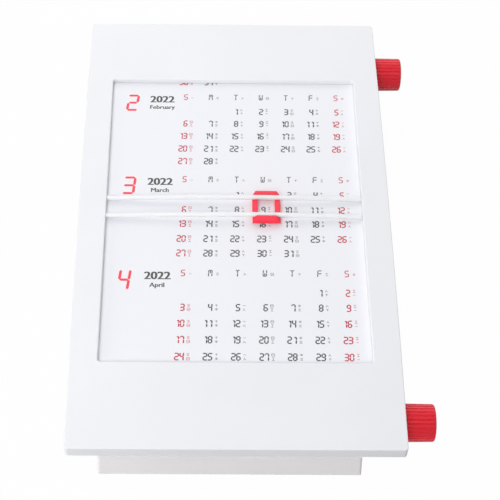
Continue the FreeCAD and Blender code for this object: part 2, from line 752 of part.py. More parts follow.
def make_date_marker():
    """Ring whose floor passes under both rods and whose two lips snap over them from outside."""
    middle = at(rail_setback)
    half_angle = math.degrees(math.asin(marker_width / 2 / arch_radius))
    groove = rail_radius + marker_clearance
    floor = -(groove + marker_floor)
    half_gap = rail_spacing / 2
    front = arch_band(middle - front_lip_out, middle - half_gap, floor, front_lip_rise, half_angle)
    web = arch_band(middle - half_gap, middle + half_gap, floor, -marker_web_drop, half_angle)
    back = arch_band(middle + half_gap, middle + back_lip_out, floor, back_lip_rise, half_angle)
    long_upper = lambda box: box.ZMin > arch_z + arch_radius and box.XLength > marker_width / 2
    front = fillet_where(front, front_lip_radius, lambda edge: long_upper(edge.BoundBox)
                         and edge.BoundBox.YMax < middle - front_lip_out + overrun / 10)
    back = fillet_where(back, back_lip_radius, lambda edge: long_upper(edge.BoundBox)
                        and edge.BoundBox.YMin > middle + back_lip_out - overrun / 10)
    body = front.fuse(web).fuse(back)
    for y in rail_places().values():
        body = body.cut(arch_rod(y, groove, 2 * half_angle))
        body = body.cut(arch_band(y - snap_half_width, y + snap_half_width, 0.0, back_lip_rise + overrun,
                                  2 * half_angle))
    z = arch_z + arch_radius
    opening = rounded_prism(plate_x, marker_window, middle - half_gap, middle + half_gap,
                            z - rail_diameter - overrun, z + rail_diameter + overrun, marker_window_radius)
    body = body.cut(opening)
    for wedge in front_lip_wedges(middle - front_lip_out - overrun, middle - half_gap):
        body = body.cut(wedge)
    for wedge in back_lip_wedges(middle + half_gap + back_lip_taper_setback, middle + back_lip_out):
        body = body.cut(wedge)
    body = body.removeSplitter()
    turn = math.degrees(math.asin(marker_place / arch_radius))
    body.rotate(Vector(plate_x, 0, arch_z), Vector(0, 1, 0), turn)
    return body


def make_screw(x, y, seat_z, length):
    """Pan-head screw driven upwards, with its head under the seat."""
    head = upright(screw_head_diameter / 2, x, y, seat_z - screw_head_height, seat_z)
    head = bevel_where(head, screw_head_height / 3, edges_at(seat_z - screw_head_height))
    return head.fuse(upright(screw_diameter / 2, x, y, seat_z, seat_z + length))


def make_frame_screws():
    seat = skirt_z - ear_thickness
    return Part.makeCompound([make_screw(x, y, seat, frame_screw_length) for x, y, inward in ears()])


def make_casing_screws():
    seat = casing_z + casing_screw_seat()
    return Part.makeCompound([make_screw(x, y, seat, casing_screw_length) for x, y in posts()])


def make_feet():
    """Rubber discs in their sockets, over the casing screws."""
    feet = []
    for x, y in posts():
        foot = upright(foot_diameter / 2, x, y, 0, casing_z + foot_socket_depth - screw_fit)
        feet.append(bevel_where(foot, foot_edge_bevel, edges_at(0)))
    return Part.makeCompound(feet)


def make_parts():
    parts = {
        "top_frame": make_top_frame(),
        "roller_housing": make_roller_housing(),
        "drawer_casing": make_drawer_casing(),
        "drawer": make_drawer(),
        "paper_bed": make_paper_bed(),
        "calendar_strip": make_calendar_strip(),
        "date_marker": make_date_marker(),
        "frame_screws": make_frame_screws(),
        "casing_screws": make_casing_screws(),
        "feet": make_feet(),
    }
    for name, y in rail_places().items():
        parts[name + "_rail"] = make_rail(y)
    for name, (y, radius) in rollers().items():
        parts[name + "_roller"] = make_roller(y)
        parts[name + "_paper_roll"] = make_paper_roll(y, radius)
        parts[name + "_knob"] = make_knob(y)
        parts[name + "_knob_bush"] = make_bush(y, 1)
        parts[name + "_end_bush"] = make_bush(y, -1)
        parts[name + "_friction_washer"] = make_friction_washer(y)
        parts[name + "_clip"] = make_clip(y)
    return parts


for part_name, part_shape in make_parts().items():
    print(part_name, len(part_shape.Solids), part_shape.isValid(), round(part_shape.Volume, 1))
    part_shape.exportStep("parts/" + part_name + ".step")
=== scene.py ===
import math
from collections import namedtuple

import bmesh
import bpy
from mathutils import Matrix, Vector


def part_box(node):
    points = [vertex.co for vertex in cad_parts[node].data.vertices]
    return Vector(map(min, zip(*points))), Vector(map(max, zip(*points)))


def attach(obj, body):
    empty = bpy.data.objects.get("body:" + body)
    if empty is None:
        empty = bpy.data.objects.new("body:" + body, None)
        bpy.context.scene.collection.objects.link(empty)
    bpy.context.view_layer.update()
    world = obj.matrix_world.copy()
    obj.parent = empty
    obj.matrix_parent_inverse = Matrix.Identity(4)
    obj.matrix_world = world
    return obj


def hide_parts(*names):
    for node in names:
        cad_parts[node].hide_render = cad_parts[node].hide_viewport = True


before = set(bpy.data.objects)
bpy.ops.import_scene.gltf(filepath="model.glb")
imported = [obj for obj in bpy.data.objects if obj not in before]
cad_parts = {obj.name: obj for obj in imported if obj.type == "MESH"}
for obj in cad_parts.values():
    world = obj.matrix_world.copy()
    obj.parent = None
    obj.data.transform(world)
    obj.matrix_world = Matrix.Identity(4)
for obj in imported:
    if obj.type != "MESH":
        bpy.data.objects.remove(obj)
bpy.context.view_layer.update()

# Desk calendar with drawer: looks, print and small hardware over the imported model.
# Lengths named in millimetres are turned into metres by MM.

MM = 0.001

# Camera fitted to the plate's edges, the window and the knobs in the photograph: its place and lens in
# millimetres, its turns in degrees and the range it sees in metres
CAMERA_PLACE = (-15.55, -299.10, 431.37)
CAMERA_TURNS = (("Z", -0.736), ("X", 35.358), ("Z", 0.973))
FOCAL_LENGTH = 101.87
SENSOR_WIDTH = 36.0
SHIFT_ASIDE = 0.07
NEAR_LIMIT = 0.01
FAR_LIMIT = 50.0

# Lamps: name, place, the point it faces, side and power, in metres and watts
LAMPS = (
    ("top_light", (0.0, 0.10, 0.90), (0.0, 0.0, 0.03), 1.2, 1.38),
    ("wall_light", (0.0, 0.90, 0.40), (0.0, 0.0, 0.02), 1.2, 4.6),
    ("near_light", (-0.18, 0.24, 0.40), (0.0, 0.05, 0.03), 0.5, 0.58),
    ("knob_light", (0.22, 0.26, 0.20), (0.05, 0.08, 0.02), 0.15, 0.045),
    ("front_light", (-0.38, -1.19, 1.56), (0.0, 0.0, 0.02), 1.0, 20.6),
    ("front_fill", (-0.28, -0.22, 0.10), (0.0, -0.09, 0.02), 0.15, 0.355),
)

# Light from all round, and the table: half its side in metres, its grey, and how white it is shown
ROOM_LIGHT = 0.15
TABLE_HALF = 4.0
TABLE_GREY = 0.45
TABLE_WHITE_SHARE = 0.985
WHITE = (1.0, 1.0, 1.0, 1.0)


# Camera, lamps and studio

def placed(name, data):
    """An object of this data that stands in the scene."""
    thing = bpy.data.objects.new(name, data)
    bpy.context.collection.objects.link(thing)
    return thing


def set_camera():
    """The photograph's view."""
    data = bpy.data.cameras.new("photo_camera")
    data.sensor_width = SENSOR_WIDTH
    data.lens = FOCAL_LENGTH
    data.shift_x = SHIFT_ASIDE
    data.clip_start = NEAR_LIMIT
    data.clip_end = FAR_LIMIT
    camera = placed("photo_camera", data)
    stand = Matrix.Translation(Vector(CAMERA_PLACE) * MM)
    for axis, degrees in CAMERA_TURNS:
        stand = stand @ Matrix.Rotation(math.radians(degrees), 4, axis)
    camera.matrix_world = stand
    bpy.context.scene.camera = camera


def soft_lamp(name, place, target, size, power):
    """Square white lamp that faces its target."""
    data = bpy.data.lights.new(name, "AREA")
    data.shape = "SQUARE"
    data.size = size
    data.energy = power
    lamp = placed(name, data)
    toward = Vector(target) - Vector(place)
    turn = toward.to_track_quat("-Z", "Y").to_matrix().to_4x4()
    lamp.matrix_world = Matrix.Translation(Vector(place)) @ turn


def background_rays(nodes, links):
    """1 for the rays that should see plain white: from the camera, mirrored or passed through."""
    path = nodes.new("ShaderNodeLightPath")
    seen = path.outputs["Is Camera Ray"]
    for kind in ("Is Glossy Ray", "Is Transmission Ray"):
        either = nodes.new("ShaderNodeMath")
        either.operation = "MAXIMUM"
        links.new(seen, either.inputs[0])
        links.new(path.outputs[kind], either.inputs[1])
        seen = either.outputs[0]
    return seen


def mixed(nodes, links, share, first, second):
    """Shader that goes from the first to the second as share goes from 0 to 1."""
    mix = nodes.new("ShaderNodeMixShader")
    links.new(share, mix.inputs["Fac"])
    links.new(first, mix.inputs[1])
    links.new(second, mix.inputs[2])
    return mix.outputs[0]


def set_world():
    """White behind everything, and a weak white light from all round."""
    world = bpy.data.worlds.new("studio_air")
    bpy.context.scene.world = world
    world.use_nodes = True
    nodes, links = world.node_tree.nodes, world.node_tree.links
    nodes.clear()
    shades = []
    for strength in (ROOM_LIGHT, 1.0):
        air = nodes.new("ShaderNodeBackground")
        air.inputs["Color"].default_value = WHITE
        air.inputs["Strength"].default_value = strength
        shades.append(air.outputs[0])
    out = nodes.new("ShaderNodeOutputWorld")
    links.new(mixed(nodes, links, background_rays(nodes, links), *shades), out.inputs["Surface"])


def set_floor():
    """Table top that is seen white, keeps a faint shadow and is clear from below."""
    mesh = bpy.data.meshes.new("table_top")
    half = TABLE_HALF
    corners = [(-half, -half, 0), (half, -half, 0), (half, half, 0), (-half, half, 0)]
    mesh.from_pydata(corners, [], [(0, 1, 2, 3)])
    floor = placed("table_top", mesh)
    material = bpy.data.materials.new("white_table")
    material.use_nodes = True
    nodes, links = material.node_tree.nodes, material.node_tree.links
    nodes.clear()
    matt = nodes.new("ShaderNodeBsdfDiffuse")
    matt.inputs["Color"].default_value = (TABLE_GREY, TABLE_GREY, TABLE_GREY, 1.0)
    white = nodes.new("ShaderNodeEmission")
    white.inputs["Strength"].default_value = 1.0
    share = nodes.new("ShaderNodeMath")
    share.operation = "MULTIPLY"
    share.inputs[1].default_value = TABLE_WHITE_SHARE
    links.new(background_rays(nodes, links), share.inputs[0])
    side = nodes.new("ShaderNodeNewGeometry")
    clear = nodes.new("ShaderNodeBsdfTransparent")
    top = mixed(nodes, links, share.outputs[0], matt.outputs[0], white.outputs[0])
    out = nodes.new("ShaderNodeOutputMaterial")
    two_sided = mixed(nodes, links, side.outputs["Backfacing"], top, clear.outputs[0])
    links.new(two_sided, out.inputs["Surface"])
    mesh.materials.append(material)


# Materials, with noise scales in grains to the metre and depths in metres

def shade(colour, factor):
    """A colour made darker or lighter."""
    return tuple(min(1.0, part * factor) for part in colour)


class Finish:
    """A material in the making: its shader, and textures on Object coordinates."""

    def __init__(self, name, colour, roughness):
        self.material = bpy.data.materials.new(name)
        self.material.use_nodes = True
        self.material.diffuse_color = (*colour, 1.0)
        self.nodes = self.material.node_tree.nodes
        self.links = self.material.node_tree.links
        self.shader = self.nodes["Principled BSDF"]
        self.where = self.nodes.new("ShaderNodeTexCoord").outputs["Object"]
        self.colour = colour
        self.set("Base Color", (*colour, 1.0))
        self.set("Roughness", roughness)

    def set(self, socket, value):
        """A fixed value on one of the shader's own sockets."""
        self.shader.inputs[socket].default_value = value

    def feed(self, socket, value):
        """A texture's value on one of the shader's own sockets."""
        self.links.new(value, self.shader.inputs[socket])

    def stretched(self, scale, place=(0, 0, 0)):
        """Object coordinates moved and scaled by a Mapping node."""
        mapping = self.nodes.new("ShaderNodeMapping")
        mapping.inputs["Location"].default_value = place
        mapping.inputs["Scale"].default_value = scale
        self.links.new(self.where, mapping.inputs["Vector"])
        return mapping.outputs["Vector"]

    def noise(self, scale, detail, rough=0.5, where=None):
        """Soft noise, over the whole object or along the coordinates given."""
        texture = self.nodes.new("ShaderNodeTexNoise")
        texture.inputs["Scale"].default_value = scale
        texture.inputs["Detail"].default_value = detail
        texture.inputs["Roughness"].default_value = rough
        self.links.new(self.where if where is None else where, texture.inputs["Vector"])
        return texture.outputs["Fac"]

    def spread(self, value, low, high, bottom=0.3, top=0.7):
        """A texture's value taken from its usual range, bottom to top, to the range low to high."""
        change = self.nodes.new("ShaderNodeMapRange")
        ends = {"From Min": bottom, "From Max": top, "To Min": low, "To Max": high}
        for socket, end in ends.items():
            change.inputs[socket].default_value = end
        self.links.new(value, change.inputs["Value"])
        return change.outputs["Result"]

    def uneven_gloss(self, value, low, high, bottom=0.3, top=0.7):
        """Roughness that goes from low to high with a texture."""
        self.feed("Roughness", self.spread(value, low, high, bottom, top))

    def uneven_colour(self, value, dark, light, bottom=0.3, top=0.7):
        """The finish's own colour times dark to times light, chosen by a texture's value."""
        ramp = self.nodes.new("ShaderNodeValToRGB")
        for stop, place, factor in zip(ramp.color_ramp.elements, (bottom, top), (dark, light)):
            stop.position = place
            stop.color = (*shade(self.colour, factor), 1.0)
        self.links.new(value, ramp.inputs["Fac"])
        self.feed("Base Color", ramp.outputs["Color"])

    def bumps(self, heights, depth, strength):
        """Bump of one or more textures, each over the one before."""
        normal = None
        for height, share in heights:
            bump = self.nodes.new("ShaderNodeBump")
            bump.inputs["Strength"].default_value = strength * share
            bump.inputs["Distance"].default_value = depth
            self.links.new(height, bump.inputs["Height"])
            if normal is not None:
                self.links.new(normal, bump.inputs["Normal"])
            normal = bump.outputs["Normal"]
        self.feed("Normal", normal)


# How far light travels under a plastic's skin, in metres, and the shares of it in red, green and blue
SKIN_DEPTH = 1.2 * MM
WARM_REACH = (1.0, 0.25, 0.2)
WHITE_REACH = (1.2, 1.2, 1.3)

# How strongly a plastic mirrors: as usual, or less on the rods, the marker and the knobs
PLAIN_MIRROR = 0.5
LOW_MIRROR = 0.3


def moulded_plastic(name, colour, gloss, grain, depth, variation=0.02, under_skin=0.0,
                    reach=WARM_REACH, mirror=PLAIN_MIRROR):
    """Injection-moulded plastic: faint flow clouds, a fine eroded grain and uneven gloss."""
    finish = Finish(name, colour, gloss)
    clouds = finish.noise(scale=28.0, detail=3.0)
    finish.uneven_colour(clouds, 1 - variation, 1 + variation / 2)
    patches = finish.noise(scale=160.0, detail=2.0)
    finish.uneven_gloss(patches, gloss - 0.04, gloss + 0.05)
    fine = finish.noise(scale=grain, detail=4.0, rough=0.6)
    waves = finish.noise(scale=55.0, detail=1.0)
    finish.bumps([(waves, 0.25), (fine, 1.0)], depth, strength=0.35)
    finish.set("Specular IOR Level", mirror)
    if under_skin:
        finish.set("Subsurface Weight", under_skin)
        finish.set("Subsurface Radius", reach)
        finish.set("Subsurface Scale", SKIN_DEPTH)
    return finish.material


def coated_paper(name, colour):
    """Smooth coated paper with fibres and a slight cockle."""
    finish = Finish(name, colour, roughness=0.55)
    finish.set("Specular IOR Level", 0.35)
    long_way = finish.stretched(scale=(1.0, 4.0, 4.0))
    fibres = finish.noise(scale=1400.0, detail=5.0, rough=0.65, where=long_way)
    finish.uneven_colour(fibres, 0.985, 1.008)
    finish.uneven_gloss(fibres, 0.5, 0.62)
    cockle = finish.noise(scale=24.0, detail=1.0)
    finish.bumps([(cockle, 0.6), (fibres, 1.0)], depth=0.03 * MM, strength=0.3)
    return finish.material


def wound_paper(name, colour, y, z):
    """Paper wound on a roller: its turns show as fine rings on the roll's ends."""
    finish = Finish(name, colour, roughness=0.6)
    turns = finish.nodes.new("ShaderNodeTexWave")
    turns.wave_type = "RINGS"
    turns.rings_direction = "X"
    turns.inputs["Scale"].default_value = 1700.0
    turns.inputs["Distortion"].default_value = 0.6
    turns.inputs["Detail"].default_value = 2.0
    centred = finish.stretched(scale=(1.0, 1.0, 1.0), place=(0.0, -y, -z))
    finish.links.new(centred, turns.inputs["Vector"])
    rings = turns.outputs["Fac"]
    finish.uneven_colour(rings, 0.8, 1.0, bottom=0.1, top=0.6)
    finish.uneven_gloss(rings, 0.7, 0.55, bottom=0.0, top=1.0)
    finish.bumps([(rings, 1.0)], depth=0.04 * MM, strength=0.4)
    return finish.material


def printing_ink(name, colour):
    """Offset ink: slightly uneven cover and a soft sheen."""
    finish = Finish(name, colour, roughness=0.45)
    cover = finish.noise(scale=1900.0, detail=4.0)
    finish.uneven_colour(cover, 0.88, 1.1)
    finish.uneven_gloss(cover, 0.38, 0.55)
    finish.bumps([(cover, 1.0)], depth=0.01 * MM, strength=0.2)
    return finish.material


def zinc_steel(name, colour):
    """Zinc-plated steel with turning marks and a cloudy plate."""
    finish = Finish(name, colour, roughness=0.34)
    finish.set("Metallic", 1.0)
    clouds = finish.noise(scale=420.0, detail=3.0)
    finish.uneven_colour(clouds, 0.86, 1.06)
    around = finish.stretched(scale=(1.0, 1.0, 9.0))
    marks = finish.noise(scale=2400.0, detail=3.0, where=around)
    finish.uneven_gloss(marks, 0.26, 0.42)
    finish.bumps([(marks, 1.0)], depth=0.01 * MM, strength=0.3)
    return finish.material


def matt_rubber(name, colour):
    """Moulded rubber with a dusty grain."""
    finish = Finish(name, colour, roughness=0.8)
    dust = finish.noise(scale=300.0, detail=4.0)
    finish.uneven_colour(dust, 1.0, 1.35, bottom=0.45, top=0.75)
    finish.uneven_gloss(dust, 0.72, 0.9)
    grain = finish.noise(scale=3600.0, detail=3.0)
    finish.bumps([(grain, 1.0)], depth=0.03 * MM, strength=0.4)
    return finish.material


def pressed_felt(name, colour):
    """Grey pressed wool: tangled fibres with a soft sheen."""
    finish = Finish(name, colour, roughness=0.95)
    finish.set("Sheen Weight", 0.35)
    tangle = finish.stretched(scale=(3.0, 1.0, 1.0))
    fibres = finish.noise(scale=1500.0, detail=6.0, rough=0.7, where=tangle)
    finish.uneven_colour(fibres, 0.6, 1.4)
    finish.uneven_gloss(fibres, 0.85, 1.0)
    finish.bumps([(fibres, 1.0)], depth=0.12 * MM, strength=0.6)
    return finish.material


def dress_nodes():
    """Every CAD node that stays shown gets its finished material."""
    shell = moulded_plastic("satin_white_shell", (0.835, 0.84, 0.873), gloss=0.42, grain=5200.0,
                            depth=0.03 * MM)
    # Drawer plastic: its warmer hue is its own, but it is made lighter than the shell as painted light
    # that stands in for the table's bounce onto the drawer front
    drawer = moulded_plastic("satin_white_drawer", (0.95, 0.927, 0.935), gloss=0.45, grain=5200.0,
                             depth=0.03 * MM)
    rod = moulded_plastic("smooth_white_rod", (0.82, 0.825, 0.845), gloss=0.3, grain=3000.0,
                          depth=0.01 * MM, variation=0.01, under_skin=1.0, reach=WHITE_REACH,
                          mirror=LOW_MIRROR)
    marker = moulded_plastic("glossy_red_marker", (1.0, 0.032, 0.07), gloss=0.3, grain=4200.0,
                             depth=0.01 * MM, variation=0.03, under_skin=0.3, mirror=LOW_MIRROR)
    knob = moulded_plastic("satin_red_knob", (0.78, 0.014, 0.032), gloss=0.24, grain=4800.0,
                           depth=0.01 * MM, variation=0.04, mirror=LOW_MIRROR)
    nylon = moulded_plastic("natural_nylon", (0.74, 0.74, 0.7), gloss=0.48, grain=2600.0,
                            depth=0.02 * MM, variation=0.03, under_skin=0.2)
    felt = pressed_felt("grey_felt_washer", (0.2, 0.2, 0.21))
    steel = zinc_steel("zinc_steel", (0.6, 0.61, 0.63))
    rubber = matt_rubber("dark_rubber_foot", (0.035, 0.035, 0.037))
    paper = coated_paper("coated_strip_paper", (0.87, 0.874, 0.917))
    looks = {
        "top_frame": shell, "roller_housing": shell, "drawer_casing": shell, "paper_bed": shell,
        "drawer": drawer, "upper_rail": rod, "lower_rail": rod, "date_marker": marker,
        "calendar_strip": paper, "frame_screws": steel, "casing_screws": steel, "feet": rubber,
    }
    for name in ("upper", "lower"):
        low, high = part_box(name + "_roller")
        middle = (low + high) / 2
        wound = wound_paper(name + "_wound_paper", (0.83, 0.83, 0.85), middle.y, middle.z)
        looks[name + "_knob"] = knob
        looks[name + "_roller"] = nylon
        looks[name + "_knob_bush"] = nylon
        looks[name + "_end_bush"] = nylon
        looks[name + "_friction_washer"] = felt
        looks[name + "_clip"] = steel
        looks[name + "_paper_roll"] = wound
    for name, material in looks.items():
        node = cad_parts[name]
        for place in node.material_slots:
            place.material = material
    return steel, rubber


# Finished pieces

def finished(name, mesh, body, material):
    """A piece at the origin that rides on a body and takes the finish it is given."""
    piece = placed(name, mesh)
    mesh.materials.clear()
    mesh.materials.append(material)
    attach(piece, body)
    return piece


def part_object(mesh):
    """An object of its mesh's name that is kept out of the scene."""
    return bpy.data.objects.new(mesh.name, mesh)


def plain_mesh(maker):
    """The mesh that an object's modifiers make of it. The object itself is removed."""
    bpy.context.view_layer.update()
    depsgraph = bpy.context.evaluated_depsgraph_get()
    made = bpy.data.meshes.new_from_object(maker.evaluated_get(depsgraph), depsgraph=depsgraph)
    maker.modifiers.clear()
    bpy.data.objects.remove(maker)
    return made


def start_tree(name, inputs):
    """A node tree that takes points and gives solids, with its input and output nodes."""
    tree = bpy.data.node_groups.new(name, "GeometryNodeTree")
    tree.interface.new_socket(name="Geometry", in_out="OUTPUT", socket_type="NodeSocketGeometry")
    for label, kind in (("Geometry", "NodeSocketGeometry"), *inputs):
        tree.interface.new_socket(name=label, in_out="INPUT", socket_type=kind)
    return tree, tree.nodes.new("NodeGroupInput"), tree.nodes.new("NodeGroupOutput")


def link_nodes(tree, pairs):
    """Links of a tree, each from an output to an input."""
    for start, end in pairs:
        tree.links.new(start, end)


def run_tree(tree, source, values):
    """The plain mesh that a node tree makes from a mesh, with the tree's named inputs set."""
    maker = placed(tree.name + "_maker", source)
    modifier = maker.modifiers.new("maker", "NODES")
    modifier.node_group = tree
    for item in tree.interface.items_tree:
        if item.in_out == "INPUT" and item.name in values:
            modifier[item.identifier] = values[item.name]
    return plain_mesh(maker)


def named_attribute(tree, name, kind="FLOAT_VECTOR"):
    """The value that each point or corner carries under a name."""
    node = tree.nodes.new("GeometryNodeInputNamedAttribute")
    node.data_type = kind
    node.inputs["Name"].default_value = name
    return node.outputs["Attribute"]


def vector_math(tree, operation, first, second=None, scale=None):
    """The result of one sum with vectors."""
    node = tree.nodes.new("ShaderNodeVectorMath")
    node.operation = operation
    tree.links.new(first, node.inputs[0])
    if second is not None:
        tree.links.new(second, node.inputs[1])
    if scale is not None:
        tree.links.new(scale, node.inputs["Scale"])
    return node.outputs["Value"] if operation == "LENGTH" else node.outputs["Vector"]


def plain_math(tree, operation, first, second=None):
    """The result of one sum with plain numbers."""
    node = tree.nodes.new("ShaderNodeMath")
    node.operation = operation
    tree.links.new(first, node.inputs[0])
    if second is not None:
        tree.links.new(second, node.inputs[1])
    return node.outputs[0]


# The printed sheet

def stroke_tree():
    """Node tree that puts a pointed bar of ink on every point, by the point's own reach and breadth."""
    tree, start, end = start_tree("ink_strokes", (
        ("Bar", "NodeSocketObject"),
        ("Ink Thickness", "NodeSocketFloat"),
        ("Ink", "NodeSocketMaterial"),
    ))
    bar = tree.nodes.new("GeometryNodeObjectInfo")
    corner = tree.nodes.new("GeometryNodeStoreNamedAttribute")
    corner.data_type = "FLOAT_VECTOR"
    corner.inputs["Name"].default_value = "corner"
    here = tree.nodes.new("GeometryNodeInputPosition")
    spots = tree.nodes.new("GeometryNodeMeshToPoints")
    stamp = tree.nodes.new("GeometryNodeInstanceOnPoints")
    real = tree.nodes.new("GeometryNodeRealizeInstances")
    place = tree.nodes.new("GeometryNodeSetPosition")
    ink = tree.nodes.new("GeometryNodeSetMaterial")
    parts = tree.nodes.new("ShaderNodeSeparateXYZ")
    up = tree.nodes.new("ShaderNodeCombineXYZ")
    up.inputs["Z"].default_value = 1.0
    reach = named_attribute(tree, "reach")
    breadth = named_attribute(tree, "breadth", "FLOAT")
    middle = named_attribute(tree, "middle")
    tree.links.new(named_attribute(tree, "corner"), parts.inputs[0])
    pull = plain_math(tree, "MULTIPLY", plain_math(tree, "ABSOLUTE", parts.outputs["Y"]), breadth)
    along = plain_math(tree, "SUBTRACT", vector_math(tree, "LENGTH", reach), pull)
    along = plain_math(tree, "MULTIPLY", along, parts.outputs["X"])
    ahead = vector_math(tree, "NORMALIZE", reach)
    aside = vector_math(tree, "CROSS_PRODUCT", up.outputs[0], ahead)
    across = plain_math(tree, "MULTIPLY", parts.outputs["Y"], breadth)
    rise = plain_math(tree, "MULTIPLY", parts.outputs["Z"], start.outputs["Ink Thickness"])
    spot = vector_math(tree, "ADD", middle, vector_math(tree, "SCALE", ahead, scale=along))
    spot = vector_math(tree, "ADD", spot, vector_math(tree, "SCALE", aside, scale=across))
    spot = vector_math(tree, "ADD", spot, vector_math(tree, "SCALE", up.outputs[0], scale=rise))
    link_nodes(tree, [
        (start.outputs["Bar"], bar.inputs["Object"]),
        (bar.outputs["Geometry"], corner.inputs["Geometry"]),
        (here.outputs[0], corner.inputs["Value"]),
        (start.outputs["Geometry"], spots.inputs["Mesh"]),
        (spots.outputs["Points"], stamp.inputs["Points"]),
        (corner.outputs["Geometry"], stamp.inputs["Instance"]),
        (stamp.outputs["Instances"], real.inputs["Geometry"]),
        (real.outputs["Geometry"], place.inputs["Geometry"]),
        (spot, place.inputs["Position"]),
        (place.outputs["Geometry"], ink.inputs["Geometry"]),
        (start.outputs["Ink"], ink.inputs["Material"]),
        (ink.outputs["Geometry"], end.inputs[0]),
    ])
    return tree


def bar_shape():
    """Six-cornered bar whose corners are numbers: X is the end, Y the side and Z the top or bottom."""
    outline = [(-1, 0), (-1, -1), (1, -1), (1, 0), (1, 1), (-1, 1)]
    verts = [(x, y, z) for z in (-0.5, 0.5) for x, y in outline]
    count = len(outline)
    faces = [tuple(reversed(range(count))), tuple(range(count, 2 * count))]
    faces += [(i, (i + 1) % count, count + (i + 1) % count, count + i) for i in range(count)]
    mesh = bpy.data.meshes.new("ink_bar")
    mesh.from_pydata(verts, [], faces)
    return part_object(mesh)


# Strokes of figures and initials, each with its start and end in a cell one wide and two high
STROKES = {
    "a": ((0, 2), (1, 2)), "b": ((1, 2), (1, 1)), "c": ((1, 1), (1, 0)), "d": ((0, 0), (1, 0)),
    "e": ((0, 1), (0, 0)), "f": ((0, 2), (0, 1)), "g": ((0, 1), (1, 1)),
    "u": ((0.5, 2), (0.5, 1)), "v": ((0.5, 1), (0.5, 0)), "p": ((0, 2), (0.5, 2)),
    "q": ((0.5, 2), (1, 2)), "r": ((0, 0), (0.5, 0)), "s": ((0.5, 0), (1, 0)),
    "i": ((0, 2), (0, 1.7)), "h": ((0.55, 1.8), (1, 2)),
}

# The strokes that make up each figure and initial
FIGURES = {
    "0": "abcdef", "1": "hbc", "2": "abged", "3": "abgcd", "4": "fgbc",
    "5": "afgcd", "6": "afgedc", "7": "iabc", "8": "abcdefg", "9": "abcdfg",
    "S": "afgcd", "M": "efpqbcu", "T": "pquv", "W": "fersbcv", "F": "afge",
}

# How far a stroke's end is drawn in, as a share of the weight: free ends run on instead
FREE_END = -0.5
SHARED_END = 0.06

# Type in millimetres: width, height and weight of one figure, the step to the next as a share of the
# width, and the lean as a share of the height
DAY_TYPE = (1.12, 2.5, 0.46)
INITIAL_TYPE = (1.15, 2.4, 0.36)
MONTH_TYPE = (3.3, 7.1, 0.95)
FIGURE_STEP = 1.5
DAY_LEAN = 0.05


def figure_strokes(text, x, y, measures, lean=DAY_LEAN):
    """Strokes of a run of figures whose last one is centred on (x, y)."""
    width, height, weight = measures
    strokes = []
    for index, sign in enumerate(text):
        left = x - width / 2 - (len(text) - 1 - index) * width * FIGURE_STEP
        corners = [corner for key in FIGURES[sign] for corner in STROKES[key]]
        for key in FIGURES[sign]:
            ends = []
            for u, v in STROKES[key]:
                rise = (v / 2 - 0.5) * height
                ends.append(Vector((left + u * width + rise * lean, y + rise, 0)))
            ahead = (ends[1] - ends[0]).normalized() * weight
            pulls = [FREE_END if corners.count(corner) == 1 else SHARED_END for corner in STROKES[key]]
            strokes.append((ends[0] + ahead * pulls[0], ends[1] - ahead * pulls[1], weight))
    return strokes


# Small marks beside the days: a few short strokes in a cell one wide and one high
MARKS = [
    [((0, 0.8), (1, 0.8)), ((0.5, 1), (0.5, 0)), ((0, 0.4), (1, 0.4))],
    [((0, 0.5), (1, 0.5))],
    [((0, 0.9), (1, 0.9)), ((0.1, 0.5), (0.9, 0.5)), ((0, 0.1), (1, 0.1))],
    [((0.5, 1), (0.1, 0)), ((0.5, 0.6), (0.9, 0))],
    [((0, 0), (0, 1)), ((1, 0), (1, 1)), ((0, 1), (1, 1)), ((0, 0.5), (1, 0.5)), ((0, 0), (1, 0))],
    [((0, 0.7), (1, 0.7)), ((0.5, 1), (0.5, 0))],
    [((0, 1), (1, 1)), ((0.5, 1), (0.5, 0)), ((0, 0), (1, 0))],
]
MARK_SIZE = 1.0
MARK_WEIGHT = 0.17


def mark_strokes(which, x, y):
    """Strokes of one small mark centred on (x, y)."""
    strokes = []
    for stroke in MARKS[which % len(MARKS)]:
        ends = []
        for u, v in stroke:
            ends.append(Vector((x + (u - 0.5) * MARK_SIZE, y + (v - 0.5) * MARK_SIZE, 0)))
        strokes.append((ends[0], ends[1], MARK_WEIGHT))
    return strokes


# The sheet in millimetres. Distances back run from the plate's front edge.
WINDOW_MIDDLE_X = -5.1
PLATE_FRONT_Y = -92.5
FIRST_COLUMN = -17.8
COLUMN_PITCH = 9.4
WEEKDAYS = "SMTWTFS"
REST_COLUMNS = (0, 6)

# Aside and lean are the big number's place and lean, first is the column of the month's first day, and
# header and rows are the distances back of the initials and of each row of days
Month = namedtuple("Month", "number aside lean word first days header rows")
MONTHS = [
    Month("2", -37.65, 0.14, "February", 2, 28, 149.0, (141.9, 136.0, 130.0, 124.0, 118.1)),
    Month("3", -37.5, 0.09, "March", 2, 31, 109.7, (102.7, 96.0, 89.8, 83.3, 77.1)),
    Month("4", -38.0, 0.12, "April", 5, 30, 68.7, (60.7, 54.6, 48.2, 41.8, 35.2)),
]

# The end of the month before: distance back of its row, and its days
LAST_ROW_BEFORE = (156.5, ("30", "31"))

# How far below the initials the month's number stands, and where marks stand beside initials and days
MONTH_DROP = 2.95
INITIAL_MARK = (2.5, -0.35)
DAY_MARKS = ((2.1, 0.8), (2.1, -0.8))

# The words stand in one column. Each type has its height, how far it is thickened to each side and how
# far below the initials it stands. A word's copies stand aside by these shares of the thickening.
YEAR = "2022"
YEAR_TYPE = (4.55, 0.19, 1.3)
NAME_TYPE = (2.6, 0.09, 5.1)
WORD_COLUMN = -26.6
WORD_COPIES = (-1.0, -0.35, 0.35, 1.0)
STEPS_PER_CURVE = 3

